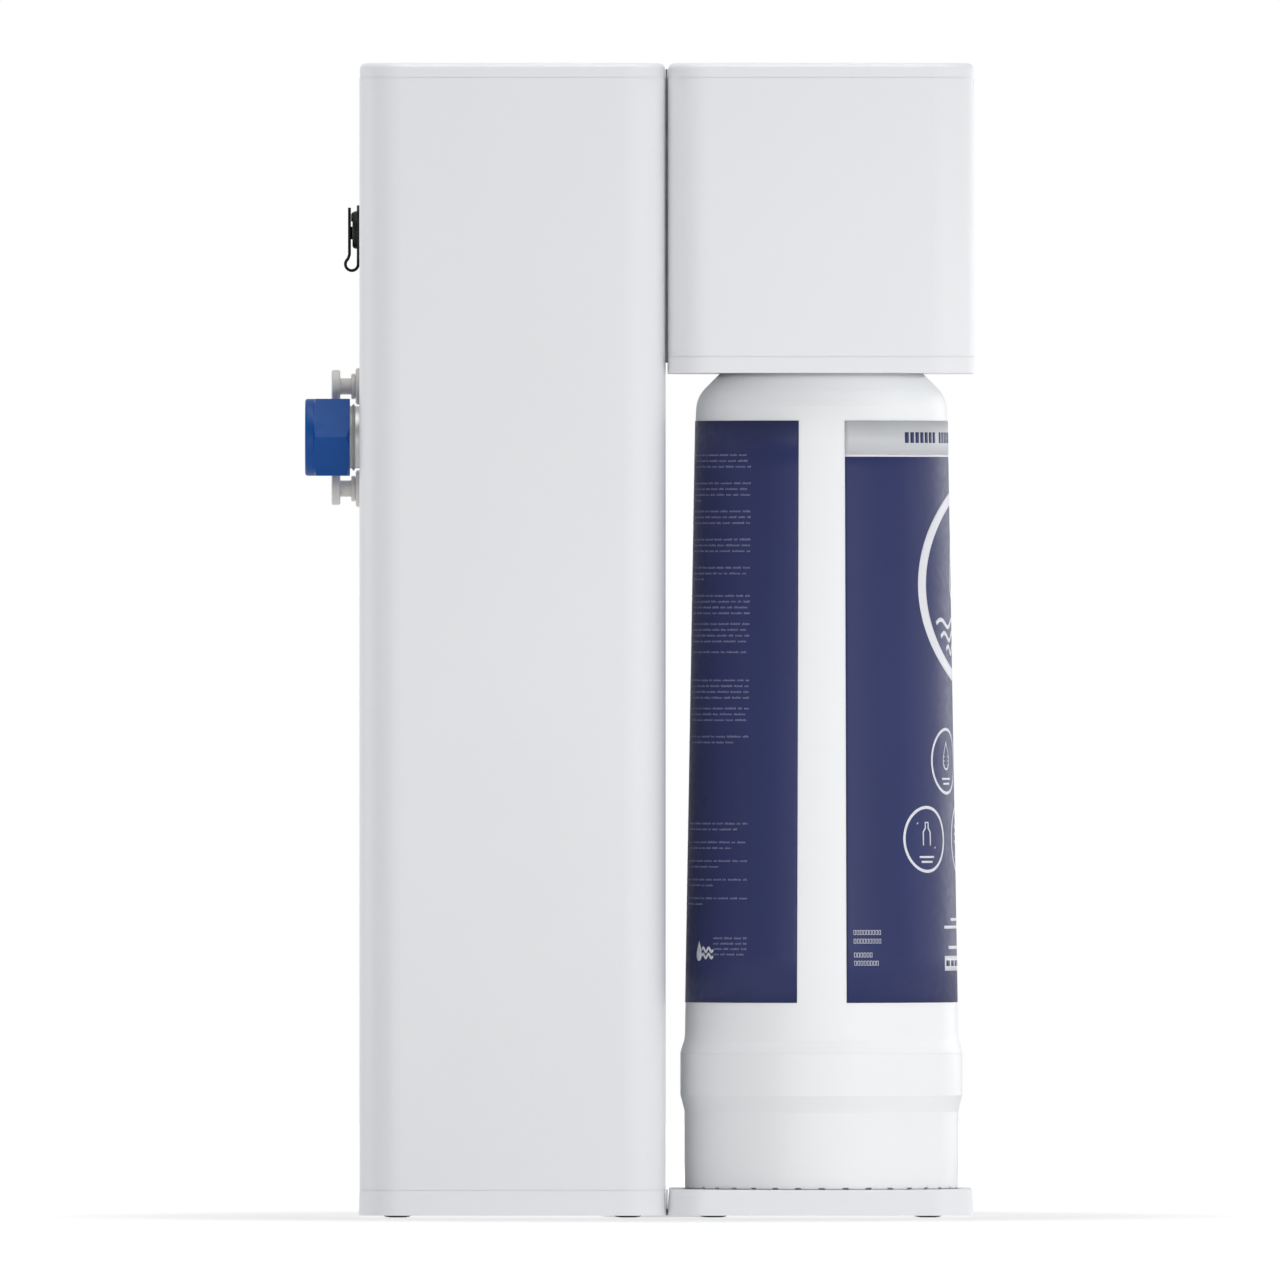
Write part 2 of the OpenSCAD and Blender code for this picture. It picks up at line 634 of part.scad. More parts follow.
module inlet_valve_plunger() color("#a8a49c") place()
    translate([valve_mid, inlet_y, seat_z + 0.1]) difference() {
        union() {
            cylinder(r1 = 4.2, r2 = 5, h = 1);
            translate([0, 0, 1 - eps]) cylinder(r = 5, h = 25);
        }
        translate([0, 0, 20]) cylinder(r = 4.2, h = 10);
    }

module inlet_valve_spring() color("silver") place()
    translate([valve_mid, inlet_y, seat_z + 20.3]) coil(3.2, 0.4, inlet_z + 36.8 - seat_z - 20.3, 7);

module flow_meter() color("#e4e4e0") place() translate([valve_mid, inlet_y, inlet_z - 21 - 34]) difference() {
    union() {
        cylinder(r = 5, h = 34);
        translate([0, 0, 5]) cylinder(r = 12, h = 24);
    }
    translate([0, 0, 9]) cylinder(r = 9, h = 16);
    difference() {
        translate([0, 0, -1]) cylinder(r = 3, h = 36);
        for (z = [6.5, 25.5]) translate([-4, -0.8, z]) cube([8, 1.6, 2]);
        for (z = [6.5, 25.5]) translate([0, 0, z]) cylinder(r = 1.8, h = 2);
    }
    translate([0, 0, 6]) cylinder(r = 0.85, h = 22);
}

module flow_turbine() color("#3a6ea5") place() translate([valve_mid, inlet_y, inlet_z - 55]) {
    translate([0, 0, 6.8]) cylinder(r = 0.8, h = 20.4);
    translate([0, 0, 10]) cylinder(r = 2.4, h = 14);
    for (a = [0:60:300]) rotate(a) translate([1.5, 0, 17]) rotate([20, 0, 0])
        translate([0, -0.4, -6]) cube([6.3, 0.8, 12]);
}

module flow_restrictor() color("#e4e4e0") place() translate([106, 26, 322]) difference() {
    union() {
        cylinder(r = 4.6, h = 40);
        translate([0, 0, 6]) cylinder(r = 7, h = 28);
    }
    translate([0, 0, -1]) cylinder(r = 2.2, h = 14);
    translate([0, 0, 28]) cylinder(r = 2.2, h = 14);
    cylinder(r = 0.6, h = 40);
}

// ---------- electronics ----------

module control_board() color("#2f6b3a") place() difference() {
    translate([22, board_y, 340]) cube([78, 1.6, 90]);
    for (x = [30, 92], z = [348, 422]) translate([x, board_y - 1, z]) rotate([-90, 0, 0])
        cylinder(r = screw_r + 0.1, h = 4);
}

module board_components() color("#222426") place() {
    for (x = [44, 62]) translate([x, board_y - 12, 400]) cube([14, 12, 20]);
    translate([26, board_y - 8, 372]) cube([12, 8, 24]);
    for (x = [50, 66, 82]) translate([x, board_y, 384]) rotate([90, 0, 0]) cylinder(r = 5, h = 13);
    translate([54, board_y - 1.4, 352]) cube([12, 1.4, 12]);
    for (x = [36, 74]) translate([x, board_y - 8, 341]) cube([12, 8, 6]);
}

module wiring() color("#303030") place() {
    pipe([[14, 0, socket_z], [32, 0, socket_z], [32, board_y - 8, socket_z]], 2, 0, 6);
    pipe([[42, board_y - 4, 341], [42, board_y - 4, 180], [pump_x, board_y - 4, 180],
        [pump_x, 8, 180], [pump_x, 8, motor_z + motor_h + 4]], 2, 0, 6);
}

// ---------- tubes ----------

module water_tube(points) pipe(points, tube_r, 2.1, 8);

module tube_suction() color("#e8ecf0") place() water_tube([[valve_mid, inlet_y, inlet_z - 55],
    [valve_mid, inlet_y, 200], [12, inlet_y, 200], [12, inlet_y, port_level], [22, inlet_y, port_level]]);

module tube_feed() color("#e8ecf0") place() water_tube([[140, -14, head_tube_z()],
    [109, -14, head_tube_z()], [109, -14, port_level], [99, -14, port_level]]);

module tube_permeate() color("#5d8fd0") place() water_tube([[140, port_y, head_tube_z() + 11],
    [72, port_y, head_tube_z() + 11], [72, port_y, permeate_z], [20, port_y, permeate_z]]);

module tube_drain() color("#d8d8d8") place() {
    water_tube([[140, 26, head_tube_z()], [106, 26, head_tube_z()], [106, 26, 362]]);
    water_tube([[106, 26, 322], [106, 26, drain_z], [30, 26, drain_z], [30, port_y, drain_z],
        [20, port_y, drain_z]]);
}

function head_tube_z() = 384;

// ---------- head ----------

module head_bracket() color("silver") place() difference() {
    union() {
        translate([head_x + wall, -43, 345]) cube([plate_t, 86, 91]);
        translate([head_x + wall, -40, block_top]) cube([axis_x + 34 - head_x - wall, 80, plate_t]);
    }
    window_cut(head_x + wall);
    bolt_cuts(head_x + wall, bolt_r + 0.2);
    translate([axis_x, 0, block_top - 1]) cylinder(r = 17, h = 5);
}

module valve_head() color("#8d9296") place() difference() {
    union() {
        translate([axis_x, 0, ring_top]) cylinder(r = block_r, h = block_top - ring_top);
        along_x(140, -14, head_tube_z()) cylinder(r = 4.6, h = 20);
        along_x(140, port_y, head_tube_z() + 11) cylinder(r = 4.6, h = 20);
        along_x(140, 26, head_tube_z()) cylinder(r = 4.6, h = 26);
    }
    translate([axis_x, 0, ring_top - 1]) cylinder(r = neck_r + 1, h = neck_top - ring_top + 9);
    translate([axis_x, 0, neck_top]) cylinder(r = 14, h = 22);
    along_x(138, -14, head_tube_z()) cylinder(r = 2.2, h = 42);
    along_x(138, port_y, head_tube_z() + 11) cylinder(r = 2.2, h = 34);
    along_x(138, 26, head_tube_z()) cylinder(r = 2.2, h = 40);
    translate([axis_x - 4, 10, head_tube_z()]) rotate([-90, 0, 0]) cylinder(r = 2.2, h = 16);
}

// A sector of the space that the cartridge lugs need, from angle a over the sweep
module lug_room(a, sweep) rotate(a) rotate_extrude(angle = sweep)
    polygon([[bayonet_r - 2, ring_bottom - 1], [lug_room_r, ring_bottom - 1],
        [lug_room_r, ring_top + 1], [bayonet_r - 2, ring_top + 1]]);

// Three sloping ledges carry the lugs; each ends in a stop beside the next entry slot
module bayonet_ring() color("#70757a") place() translate([axis_x, 0, 0]) difference() {
    slot_half = lug_angle / 2 + 2;
    middle = slot_half - unlock_angle / 2;
    tilt = atan(unlock_drop / (unlock_angle * PI / 180 * (bayonet_r + 2)));
    translate([0, 0, ring_bottom]) cylinder(r = block_r, h = ring_top - ring_bottom);
    translate([0, 0, ring_bottom - 1]) cylinder(r = bayonet_r, h = ring_top);
    for (i = [0:2]) rotate(120 * i) {
        lug_room(-unlock_angle - slot_half, 2 * slot_half);
        intersection() {
            lug_room(-unlock_angle - slot_half, unlock_angle + 2 * slot_half);
            rotate(middle) translate([0, 0, lug_z - 0.4 + unlock_drop / unlock_angle * (middle - lug_angle / 2)])
                rotate([tilt, 0, 0]) translate([0, -50, 0]) cube([50, 100, 30]);
        }
    }
}

module shutoff_plate() color("#d8d4cc") place() translate([axis_x, 0, neck_top + 0.1]) {
    cylinder(r = 20, h = 3);
    difference() {
        translate([0, 0, 3 - eps]) cylinder(r = 6, h = 7);
        translate([0, 0, 5]) cylinder(r = 4, h = 8);
    }
}

module shutoff_spring() color("silver") place()
    translate([axis_x, 0, neck_top + 3.2]) coil(9, 0.6, 18.6, 6);

module pressure_switch() color("#303436") place() translate([axis_x, 0, block_top]) {
    cylinder(r = 14, h = 12);
    for (y = [-4, 4]) translate([-0.4, y - 3, 12 - eps]) cube([0.8, 6, 8]);
}

// ---------- cartridge ----------

// Arc that blends the tapered wall (at radius r0, height z0) into the 45-degree shoulder
function shoulder_arc(r0, z0, r) = [for (a = [0:7.5:45]) [r0 - r + r * cos(a), z0 + r * sin(a)]];

function tank_outline() = let (arc = shoulder_arc(label_r[1] - 0.2, label_z[1] + 4.2, shoulder_r),
        tip = arc[len(arc) - 1])
    concat([[ring_r, ring_z[1]], [ring_r - 0.35, ring_z[1] + 1.4], [label_r[0] + 0.55, ring_z[1] + 4.9],
        [label_r[0] + 0.25, ring_z[1] + 7.3], [label_r[0], label_z[0]], [label_r[1], label_z[1]]], arc,
        [[neck_r + 2, tip[1] + (tip[0] - neck_r - 2)]]);

module cartridge_tank() color("white") place() translate([axis_x, 0, 0]) difference() {
    outline = tank_outline();
    top = outline[len(outline) - 1];
    rotate_extrude($fn = 128) polygon(concat([[0, ring_z[1]]], outline, [[0, top[1]]]));
    rotate_extrude($fn = 128) polygon(concat([[0, ring_z[1] - 1], [label_r[0] - shell_t, ring_z[1] - 1]],
        [for (p = outline) if (p[1] > ring_z[1] + 10) [p[0] - shell_t, p[1] - 1.2]],
        [[0, top[1] - 1.2]]));
    translate([0, 0, top[1] - 10]) cylinder(r = neck_r - 4, h = 20);
}

module cartridge_skirt() color("white") place() translate([axis_x, 0, 0]) {
    difference() {
        rotate_extrude($fn = 128) polygon([[0, skirt_z], [skirt_r - 0.8, skirt_z], [skirt_r - 0.2, skirt_z + 0.6],
            [skirt_r, skirt_z + 11], [skirt_r, ring_z[0] - 6.4], [skirt_r + 0.3, ring_z[0] - 4.8],
            [ring_r - 0.35, ring_z[0] - 1.2], [ring_r, ring_z[0]], [ring_r, ring_z[1] - 0.1],
            [ring_r - 0.15, ring_z[1]], [0, ring_z[1]]]);
        translate([0, 0, skirt_z - 1]) cylinder(r = skirt_r - shell_t, h = ring_z[1] - skirt_z - 3);
        translate([0, 0, ring_z[1] - 1]) cylinder(r = 9.4, h = 3);
        for (a = [0:10:350]) rotate(a) translate([skirt_r - 4, -1.2, skirt_z - 1]) cube([8, 2.4, 2]);
    }
    difference() {
        translate([0, 0, ring_z[1] - eps]) cylinder(r = label_r[0] - shell_t - 0.15, h = 7);
        translate([0, 0, ring_z[1] - 1]) cylinder(r = label_r[0] - shell_t - 3, h = 12);
    }
}

module cartridge_neck() color("#e6e8ea") place() translate([axis_x, 0, 0]) {
    top = tank_outline()[len(tank_outline()) - 1];
    rotate_extrude() polygon([[neck_r - 4.1, top[1] - 9], [neck_r - 4.1, top[1]], [neck_r + 1.6, top[1]],
        [neck_r + 1.6, top[1] + 0.2], [neck_r, top[1] + 0.6], [neck_r, seal_z - 1.3],
        [neck_r - 1.2, seal_z - 1.3], [neck_r - 1.2, seal_z + 1.3], [neck_r, seal_z + 1.3],
        [neck_r, neck_top - 0.8], [neck_r - 0.8, neck_top], [9, neck_top], [9, top[1] - 9]]);
    for (i = [0:2]) rotate(120 * i - lug_angle / 2) rotate_extrude(angle = lug_angle)
        polygon([[neck_r - 1, lug_z], [lug_r, lug_z], [lug_r, lug_z + lug_h], [neck_r - 1, lug_z + lug_h]]);
}

module neck_seals() color("#2a2c2e") place() translate([axis_x, 0, seal_z])
    rotate_extrude() translate([neck_r - 0.1, 0]) circle(1.05);

module membrane_roll() color("#e8e2d0") place() translate([axis_x, 0, ring_z[1] + 12]) difference() {
    cylinder(r = 44, h = 224);
    translate([0, 0, -1]) cylinder(r = 8.4, h = 230);
}

module core_tube() color("#f0f0f0") place() translate([axis_x, 0, ring_z[1] + 0.2]) difference() {
    union() {
        cylinder(r = 8.2, h = neck_z - ring_z[1] + 14);
        translate([0, 0, 6]) cylinder(r = 42, h = 5.6);
    }
    translate([0, 0, 12]) cylinder(r = 6, h = 400);
}

module cartridge_label() color("#28305e") place() translate([axis_x, 0, 0])
    for (a = [-90 + strip_half, 90 + strip_half]) rotate(a)
        rotate_extrude(angle = 180 - 2 * strip_half, $fn = 128) polygon([
            [label_r[0] + 0.02, label_z[0]], [label_r[0] + 0.17, label_z[0]],
            [label_r[1] + 0.17, label_z[1]], [label_r[1] + 0.02, label_z[1]]]);

// ---------- output ----------

column_sleeve();
column_top_cap();
column_base();
base_plate();
base_tie_plate();
feet();
head_sleeve();
head_top_cap();
head_lid();
head_gasket();
head_bolts();
chassis();
screws();
inlet_fitting();
inlet_strainer();
inlet_cap();
inlet_cap_washer();
permeate_port();
permeate_collet();
permeate_plug();
drain_port();
drain_collet();
drain_plug();
panel_nuts();
port_seals();
power_socket();
socket_flap();
pump_bracket();
pump_grommets();
pump_head();
pump_motor();
motor_magnets();
pump_rotor();
inlet_valve_body();
inlet_valve_coil();
inlet_valve_plunger();
inlet_valve_spring();
flow_meter();
flow_turbine();
flow_restrictor();
control_board();
board_components();
wiring();
tube_suction();
tube_feed();
tube_permeate();
tube_drain();
head_bracket();
valve_head();
bayonet_ring();
shutoff_plate();
shutoff_spring();
pressure_switch();
cartridge_tank();
cartridge_skirt();
cartridge_neck();
neck_seals();
membrane_roll();
core_tube();
cartridge_label();
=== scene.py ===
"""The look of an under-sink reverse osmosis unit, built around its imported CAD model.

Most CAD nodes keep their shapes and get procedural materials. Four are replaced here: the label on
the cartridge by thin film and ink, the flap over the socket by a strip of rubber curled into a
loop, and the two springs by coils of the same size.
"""

import json
import math
import random

import bmesh
import bpy
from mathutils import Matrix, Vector


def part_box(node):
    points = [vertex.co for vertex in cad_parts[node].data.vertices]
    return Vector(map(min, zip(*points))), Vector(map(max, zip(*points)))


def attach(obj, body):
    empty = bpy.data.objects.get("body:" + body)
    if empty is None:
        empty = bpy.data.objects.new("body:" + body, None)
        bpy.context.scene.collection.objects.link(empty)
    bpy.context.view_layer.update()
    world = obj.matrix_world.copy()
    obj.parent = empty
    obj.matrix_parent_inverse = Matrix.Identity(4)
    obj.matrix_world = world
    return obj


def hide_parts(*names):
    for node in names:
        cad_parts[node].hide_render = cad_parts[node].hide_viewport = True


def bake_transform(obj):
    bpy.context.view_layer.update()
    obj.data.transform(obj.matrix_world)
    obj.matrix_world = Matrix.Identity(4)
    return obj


MM = 0.001                              # one millimetre in the scene's unit
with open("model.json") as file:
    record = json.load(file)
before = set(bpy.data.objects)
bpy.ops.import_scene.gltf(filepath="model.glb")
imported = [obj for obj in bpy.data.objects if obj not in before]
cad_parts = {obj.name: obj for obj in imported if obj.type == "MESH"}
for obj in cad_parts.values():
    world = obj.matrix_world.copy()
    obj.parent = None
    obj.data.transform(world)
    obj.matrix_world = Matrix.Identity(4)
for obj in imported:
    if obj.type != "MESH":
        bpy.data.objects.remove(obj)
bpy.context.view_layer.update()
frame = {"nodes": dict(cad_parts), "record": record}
NODES = frame["nodes"]


def new_piece(name, bm, material):
    """A shown object from a bmesh, which is used up."""
    mesh = bpy.data.meshes.new(name)
    bm.to_mesh(mesh)
    bm.free()
    mesh.materials.append(material)
    piece = bpy.data.objects.new(name, mesh)
    bpy.context.scene.collection.objects.link(piece)
    return piece


def skin(bm, rings):
    """Closed surface over rings of the same number of vertices."""
    for one, two in zip(rings, rings[1:]):
        for k in range(len(one)):
            n = (k + 1) % len(one)
            bm.faces.new((one[k], two[k], two[n], one[n]))
    bm.faces.new(rings[0])
    bm.faces.new(rings[-1][::-1])


# ---------- materials ----------


def srgb(r, g, b):
    """8-bit display colour to the linear colour that shaders take."""
    def channel(v):
        v = v / 255
        return v / 12.92 if v <= 0.04045 else ((v + 0.055) / 1.055) ** 2.4

    return (channel(r), channel(g), channel(b), 1.0)


class Shader:
    """A Principled material with helpers for the textures that vary it."""

    def __init__(self, name, color, roughness, **sockets):
        self.mat = bpy.data.materials.new(name)
        self.mat.use_nodes = True
        self.tree = self.mat.node_tree
        self.bsdf = self.tree.nodes["Principled BSDF"]
        self.color = color
        self.roughness = roughness
        self.bsdf.inputs["Base Color"].default_value = color
        self.bsdf.inputs["Roughness"].default_value = roughness
        for socket, value in sockets.items():
            self.bsdf.inputs[socket.replace("_", " ")].default_value = value
        self.coords = self.node("ShaderNodeTexCoord").outputs["Object"]
        self.last_normal = None

    def node(self, kind, **values):
        """A new node; each value goes to the input of that name, or else to the setting."""
        made = self.tree.nodes.new(kind)
        for key, value in values.items():
            if key in made.inputs:
                made.inputs[key].default_value = value
            else:
                setattr(made, key, value)
        return made

    def link(self, source, target):
        self.tree.links.new(source, target)

    def stretched(self, scale):
        """Object coordinates scaled apart along X, Y and Z."""
        mapping = self.node("ShaderNodeMapping")
        mapping.inputs["Scale"].default_value = scale
        self.link(self.coords, mapping.inputs["Vector"])
        return mapping.outputs["Vector"]

    def noise(self, scale, detail, rough=0.5, stretch=None):
        made = self.node("ShaderNodeTexNoise", Scale=scale, Detail=detail, Roughness=rough)
        self.link(self.stretched(stretch) if stretch else self.coords, made.inputs["Vector"])
        return made.outputs["Fac"]

    def bands(self, scale, direction, distortion):
        made = self.node("ShaderNodeTexWave", Scale=scale, Distortion=distortion)
        made.wave_type = "BANDS"
        made.bands_direction = direction
        self.link(self.coords, made.inputs["Vector"])
        return made.outputs["Fac"]

    def tint(self, fac, dark, light, low=0.3, high=0.7):
        """Base colour runs between two tones as fac goes from low to high."""
        ramp = self.node("ShaderNodeValToRGB")
        ramp.color_ramp.elements[0].position = low
        ramp.color_ramp.elements[0].color = dark
        ramp.color_ramp.elements[1].position = high
        ramp.color_ramp.elements[1].color = light
        self.link(fac, ramp.inputs["Fac"])
        self.link(ramp.outputs["Color"], self.bsdf.inputs["Base Color"])

    def shade(self, fac, spread):
        """Tints the base colour by plus and minus a share of itself."""
        dark = tuple(c * (1 - spread) for c in self.color[:3]) + (1.0,)
        light = tuple(min(c * (1 + spread), 1) for c in self.color[:3]) + (1.0,)
        self.tint(fac, dark, light)

    def polish(self, fac, spread):
        """Roughness varies by plus and minus spread."""
        span = self.node("ShaderNodeMapRange")
        span.inputs["From Min"].default_value = 0.3
        span.inputs["From Max"].default_value = 0.7
        span.inputs["To Min"].default_value = self.roughness - spread
        span.inputs["To Max"].default_value = self.roughness + spread
        self.link(fac, span.inputs["Value"])
        self.link(span.outputs["Result"], self.bsdf.inputs["Roughness"])

    def bump(self, fac, depth_mm):
        """Relief of a real depth; several calls add up."""
        made = self.node("ShaderNodeBump", Strength=1.0, Distance=depth_mm * MM)
        self.link(fac, made.inputs["Height"])
        if self.last_normal:
            self.link(self.last_normal, made.inputs["Normal"])
        self.last_normal = made.outputs["Normal"]
        self.link(self.last_normal, self.bsdf.inputs["Normal"])
        return self


def lacquer(name, color, roughness=0.36):
    """Satin powder coat: a soft orange peel under a thin clear coat."""
    s = Shader(name, color, roughness, Coat_Weight=0.15, Coat_Roughness=0.3)
    s.shade(s.noise(9, 2), 0.008)
    s.polish(s.noise(60, 3), 0.03)
    s.bump(s.noise(420, 2), 0.006)
    return s.bump(s.noise(2600, 2), 0.003).mat


def moulded(name, color, roughness, grain, spread, **sockets):
    """Injection-moulded plastic: fine eroded texture and faint flow marks."""
    s = Shader(name, color, roughness, **sockets)
    s.shade(s.noise(35, 3, stretch=(1, 1, 0.3)), spread)
    s.polish(s.noise(300, 3), 0.05)
    return s.bump(s.noise(3200, 3, 0.6), grain).mat


def rubber(name, color):
    """Matt rubber with a cloudy bloom."""
    s = Shader(name, color, 0.7, Sheen_Weight=0.05, Sheen_Roughness=0.5, Specular_IOR_Level=0.25)
    s.shade(s.noise(90, 4), 0.25)
    s.polish(s.noise(500, 4), 0.08)
    return s.bump(s.noise(1800, 4, 0.65), 0.02).mat


def sheet_metal(name, color, roughness=0.36, clouds=45):
    """Zinc-plated or drawn steel: rolling lines and passivation clouds."""
    s = Shader(name, color, roughness, Metallic=1.0)
    s.shade(s.noise(clouds, 5, 0.65), 0.12)
    s.polish(s.noise(160, 4), 0.08)
    return s.bump(s.noise(900, 3, stretch=(1, 1, 0.05)), 0.004).mat


def turned_metal(name, color):
    """Nickel-plated brass, turned about X: fine tool marks round the axis."""
    s = Shader(name, color, 0.4, Metallic=0.6)
    s.shade(s.noise(120, 4), 0.06)
    s.polish(s.noise(260, 3), 0.06)
    return s.bump(s.bands(2600, "X", 0.4), 0.004).mat


def tubing(name, color):
    """Extruded polyethylene: slightly see-through, with die lines along it."""
    s = Shader(name, color, 0.34, Subsurface_Weight=0.25, Subsurface_Scale=0.004,
               Subsurface_Radius=(1, 1, 0.95), Coat_Weight=0.2, Coat_Roughness=0.2)
    s.shade(s.noise(60, 3), 0.05)
    return s.bump(s.noise(700, 2, stretch=(1, 1, 0.1)), 0.005).mat


def wound_sheet(name, color):
    """Edge-on layers of rolled membrane and spacer net."""
    s = Shader(name, color, 0.7)
    s.shade(s.noise(300, 4, stretch=(1, 1, 0.05)), 0.12)
    s.polish(s.noise(200, 3), 0.08)
    return s.bump(s.bands(900, "Z", 1.5), 0.05).mat


def board_green(name, color):
    """Solder mask over copper tracks."""
    s = Shader(name, color, 0.3, Coat_Weight=0.4, Coat_Roughness=0.15)
    tracks = s.node("ShaderNodeTexBrick", Scale=160.0)
    tracks.inputs["Mortar Size"].default_value = 0.06
    s.link(s.stretched((1, 0.02, 1)), tracks.inputs["Vector"])
    over_copper = tuple(c * 1.7 for c in color[:3]) + (1.0,)
    s.tint(tracks.outputs["Fac"], color, over_copper, 0.4, 0.6)
    return s.bump(tracks.outputs["Fac"], 0.03).mat


def windings(name, color):
    """Copper wire and laminations."""
    s = Shader(name, color, 0.38, Metallic=0.85)
    s.shade(s.bands(500, "Z", 0.6), 0.35)
    return s.bump(s.bands(500, "Z", 0.6), 0.08).mat


MATERIALS = {
    "housing": lacquer("powder_coat_white", srgb(238, 239, 241)),
    "white_plastic": lacquer("cap_lacquer_white", srgb(238, 239, 241), 0.4),
    "cartridge_white": moulded("cartridge_white", srgb(247, 248, 249), 0.34, 0.006, 0.006,
                               Coat_Weight=0.1, Coat_Roughness=0.25),
    "label_print": moulded("label_navy", srgb(38, 46, 97), 0.42, 0.003, 0.05,
                           Specular_IOR_Level=0.45),
    "blue_plastic": moulded("cap_blue", srgb(0, 74, 150), 0.42, 0.008, 0.06,
                            Specular_IOR_Level=0.3),
    "grey_plastic": moulded("fitting_grey", srgb(226, 223, 217), 0.45, 0.012, 0.03),
    "dark_plastic": moulded("socket_black", srgb(26, 27, 29), 0.42, 0.02, 0.12,
                            Specular_IOR_Level=0.3),
    "light_plastic": moulded("acetal_white", srgb(222, 221, 215), 0.42, 0.012, 0.03),
    "black_rubber": rubber("rubber_black", srgb(18, 18, 20)),
    "gasket_grey": rubber("gasket_grey", srgb(138, 139, 142)),
    "zinc_steel": sheet_metal("zinc_plate", srgb(196, 198, 202)),
    # Dark phosphate grey, made darker still so the tie plate's fin in the gap reads dark: partly painted
    # shade.
    "dark_steel": sheet_metal("phosphated_steel_gap_shade", srgb(96, 98, 102), 0.5),
    "nickel": turned_metal("nickel_turned", srgb(226, 225, 222)),
    "motor_metal": sheet_metal("motor_can", srgb(150, 152, 156), 0.42, clouds=20),
    "magnet": moulded("ferrite", srgb(66, 66, 70), 0.6, 0.05, 0.2),
    "copper_iron": windings("rotor_windings", srgb(176, 112, 74)),
    "coil_blue": moulded("coil_blue", srgb(34, 70, 140), 0.4, 0.02, 0.08),
    "turbine_blue": moulded("turbine_blue", srgb(60, 118, 180), 0.35, 0.01, 0.06),
    "circuit_board": board_green("solder_mask", srgb(24, 92, 48)),
    "components": moulded("component_black", srgb(38, 38, 40), 0.5, 0.03, 0.3),
    "cable_sheath": rubber("cable_sheath", srgb(40, 40, 42)),
    "tube_clear": tubing("tube_natural", srgb(226, 232, 236)),
    "tube_blue": tubing("tube_blue", srgb(84, 140, 206)),
    "valve_grey": moulded("valve_block_grey", srgb(140, 146, 150), 0.5, 0.03, 0.08),
    "membrane": wound_sheet("membrane_roll", srgb(226, 217, 194)),
}
for part in frame["record"]["subparts"]:
    mesh = NODES[part["node"]].data
    mesh.materials.clear()
    mesh.materials.append(MATERIALS[part["material_slot"]])

FILM_NAVY = MATERIALS["label_print"]
INK_WHITE = moulded("ink_white", srgb(228, 229, 235), 0.38, 0.003, 0.01)
INK_GREY = moulded("ink_grey", srgb(203, 205, 208), 0.38, 0.003, 0.02)
INK_PALE = moulded("ink_pale", srgb(128, 132, 168), 0.4, 0.003, 0.03)


# ---------- cartridge label ----------

low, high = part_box("cartridge_label")
AXIS = Vector(((low.x + high.x) / 2, (low.y + high.y) / 2))


def film_radius(z_end):
    """Outer radius of the CAD label at one of its ends."""
    ends = (v.co for v in NODES["cartridge_label"].data.vertices if abs(v.co.z - z_end) < 1e-5)
    return max((Vector((co.x, co.y)) - AXIS).length for co in ends)


Z0, Z1 = low.z, high.z
R0, R1 = film_radius(Z0), film_radius(Z1)
FOOT, TOP = Z0 / MM, Z1 / MM            # the same heights in mm
HALF_PANEL = math.degrees(math.asin((AXIS.y - low.y) / R0))   # degrees from a panel's middle to its edge
FRONT, REAR = 90, -90                   # middles of the two panels, degrees from -Y towards +X
FILM, INK = 0.12, 0.03                  # thickness of the film and of the ink, mm
INK_LIFT = 0.035                        # how far ink on the film stands over it, mm
FACE, BAR_FACE, BAR_ROW = 1.5, 2.5, 20  # longest side of a face in a strip and in a bar, mm
TICK, TICK_PITCH = 0.4, 0.62            # width and spacing of the ticks in small print, mm
TALL, LOW = 0.3, 0.75                   # share of ticks at full height, and height of the others
WORD, WORD_GAP = (1.8, 7.5), 0.9        # length of a word in small print and the space after it, mm
WORD_ROOM = 1.5                         # a line of small print ends when less than this is left, mm
LINE, LINE_PITCH = 0.8, 2.27            # height and spacing of the lines in small print, mm
LETTER, LETTER_PITCH = 2.1, 2.9         # width and spacing of the blocks in the heading, mm
HEADING, RULE = 13.1, 1.0               # heights of the grey heading band and the rule under it, mm


def radius(z):
    """Radius of the film, which tapers, at height z; both are in metres."""
    return R0 + (R1 - R0) * (z - Z0) / (Z1 - Z0)


def on_label(angle, z, lift):
    """A point over the film; angle is in degrees from -Y towards +X, z and lift are in metres."""
    a = math.radians(angle)
    r = radius(z) + lift
    return Vector((AXIS.x + r * math.sin(a), AXIS.y - r * math.cos(a), z))


